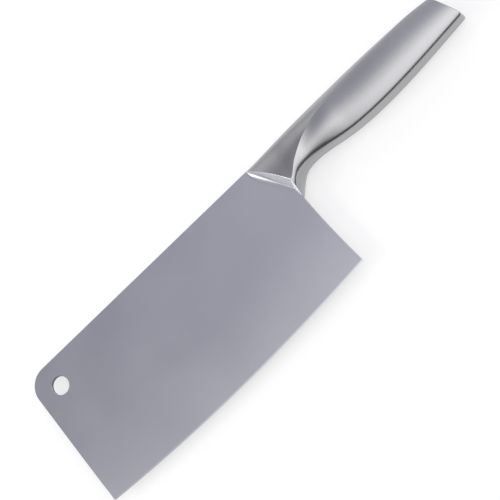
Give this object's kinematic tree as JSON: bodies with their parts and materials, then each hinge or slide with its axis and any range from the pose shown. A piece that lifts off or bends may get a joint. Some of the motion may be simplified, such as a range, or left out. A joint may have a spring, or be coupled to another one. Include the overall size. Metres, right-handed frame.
{
  "type": "meat cleaver",
  "caption": "Broad rectangular meat cleaver with a hanging hole, a ground lower edge, a slanted bolster and a seamless hollow steel handle with a flat belly strip.",
  "frame": {"origin": "centre of the overall box, at its lowest plane: the tool lies flat on its side", "axes": "+X along the length towards the butt of the handle, +Y towards the blade's spine (the cutting edge faces -Y), +Z square to the blade's left face"},
  "size_m": [0.296, 0.0836, 0.0182],
  "materials": {
    "blade_steel": "satin, fine lengthwise grain",
    "handle_steel": "satin, bead-fine lengthwise brushing",
    "weld_steel": "ground flush and brushed",
    "pin_steel": "turned, hidden in the handle",
    "filler": "set resin filler, hidden in the handle"
  },
  "bodies": {
    "root": {"blade": "blade_steel", "bolster": "handle_steel", "front_weld_left": "weld_steel", "front_weld_right": "weld_steel", "tang_pins": "pin_steel", "handle_shell_left": "handle_steel", "handle_shell_right": "handle_steel", "spine_seam_weld": "weld_steel", "belly_seam_weld": "weld_steel", "neck_weld": "weld_steel", "butt_weld": "weld_steel", "butt_cap": "handle_steel", "handle_filler": "filler"}
  },
  "joints": []
}
